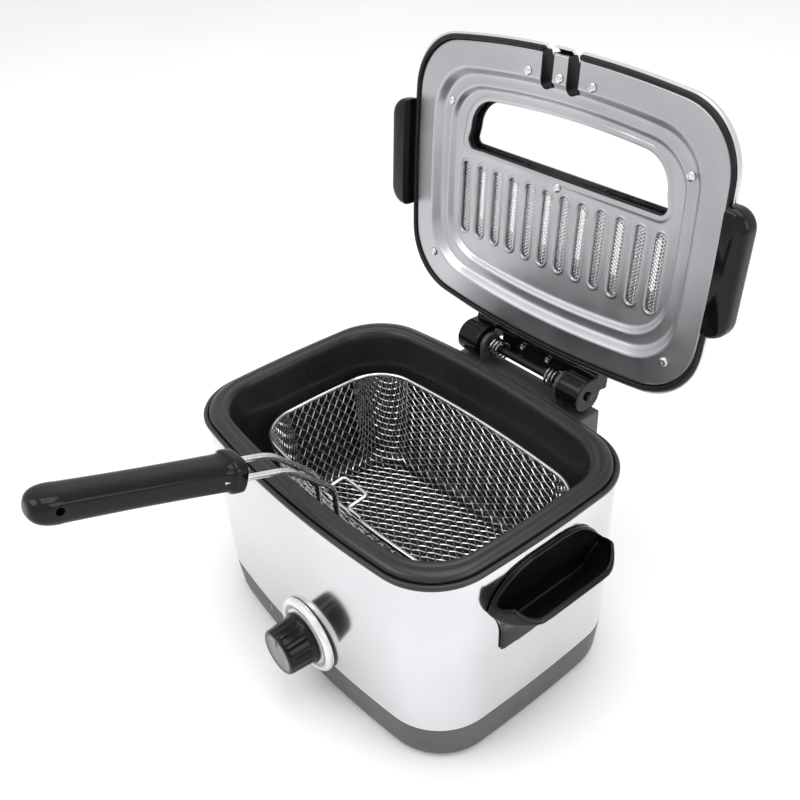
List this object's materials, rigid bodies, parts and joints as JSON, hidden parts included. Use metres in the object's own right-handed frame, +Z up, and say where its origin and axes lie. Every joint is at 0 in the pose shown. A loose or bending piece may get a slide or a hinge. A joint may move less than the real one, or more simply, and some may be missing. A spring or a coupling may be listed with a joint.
{
  "type": "compact deep fryer",
  "caption": "Compact electric deep fryer with an open hinged lid with a viewing window, a lift-out wire basket with a long handle, a lift-out oil pot and a front temperature knob.",
  "frame": {"origin": "bottom centre of the whole object's box at rest, lid open and basket handle forward, on the floor plane under the feet", "axes": "+Z up; X along the long sides of the body; -Y to the front, where the basket handle and the knob are; the lid's hinge is at the +Y side"},
  "size_m": [0.3068, 0.3818, 0.3649],
  "materials": {
    "polished_steel": "polished",
    "chromed_wire": "polished",
    "lid_aluminium": "satin",
    "non_stick": "satin",
    "black_gloss": "gloss",
    "black_matte": "matt",
    "grey_plastic": "matt",
    "black_rubber": "matt",
    "clear_glass": "clear",
    "dial_silver": "satin",
    "lamp_lens": "gloss"
  },
  "bodies": {
    "housing": {"housing_shell": "polished_steel", "base_skirt": "grey_plastic", "pilot_lamp": "lamp_lens", "foot_front_left": "black_rubber", "foot_front_right": "black_rubber", "foot_back_left": "black_rubber", "foot_back_right": "black_rubber", "top_collar": "non_stick", "heating_element": "polished_steel", "thermostat_body": "black_matte", "dial_ring": "dial_silver", "side_handle_right": "black_gloss", "side_handle_left": "black_gloss", "cord_gland": "black_matte", "hinge_bracket": "grey_plastic", "hinge_pin": "black_matte", "torsion_spring_left": "polished_steel", "torsion_spring_right": "polished_steel"},
    "knob": {"control_knob": "black_gloss", "thermostat_shaft": "polished_steel"},
    "pot": {"oil_pot": "non_stick"},
    "basket": {"basket_mesh": "chromed_wire", "basket_rim": "chromed_wire", "basket_loop": "chromed_wire", "handle_socket": "chromed_wire"},
    "handle": {"handle_grip": "black_gloss", "handle_wire": "chromed_wire", "grip_rivet_left": "chromed_wire", "grip_rivet_right": "chromed_wire"},
    "lid": {"lid_gasket": "black_rubber", "lid_inner_plate": "lid_aluminium", "vent_filter": "lid_aluminium", "window_seal": "black_rubber", "window_glass": "clear_glass", "lid_cover": "polished_steel", "lid_ear_right": "black_gloss", "lid_ear_left": "black_gloss", "lid_hinge_block": "black_matte", "hinge_screw_left": "chromed_wire", "hinge_screw_right": "chromed_wire", "lid_screw_front_left": "chromed_wire", "lid_screw_front_middle": "chromed_wire", "lid_screw_front_right": "chromed_wire", "lid_screw_side_left": "chromed_wire", "lid_screw_side_right": "chromed_wire", "lid_screw_centre": "chromed_wire", "lid_screw_back_left": "chromed_wire", "lid_screw_back_right": "chromed_wire"}
  },
  "joints": [
    {"name": "lid_hinge", "type": "hinge", "parent": "housing", "child": "lid", "pos_m": [0, 0.15128, 0.1557], "axis": [-1, 0, 0], "range_deg": [-95, 0]},
    {"name": "knob_turn", "type": "hinge", "parent": "housing", "child": "knob", "pos_m": [0.01, -0.05632, 0.044], "axis": [0, -1, 0], "range_deg": [0, 270]},
    {"name": "pot_lift", "type": "slide", "parent": "housing", "child": "pot", "axis": [0, 0, 1], "range_m": [0, 0.13]},
    {"name": "basket_lift", "type": "slide", "parent": "pot", "child": "basket", "axis": [0, 0, 1], "range_m": [0, 0.1]},
    {"name": "handle_release", "type": "slide", "parent": "basket", "child": "handle", "axis": [0, 0, 1], "range_m": [0, 0.025]}
  ]
}
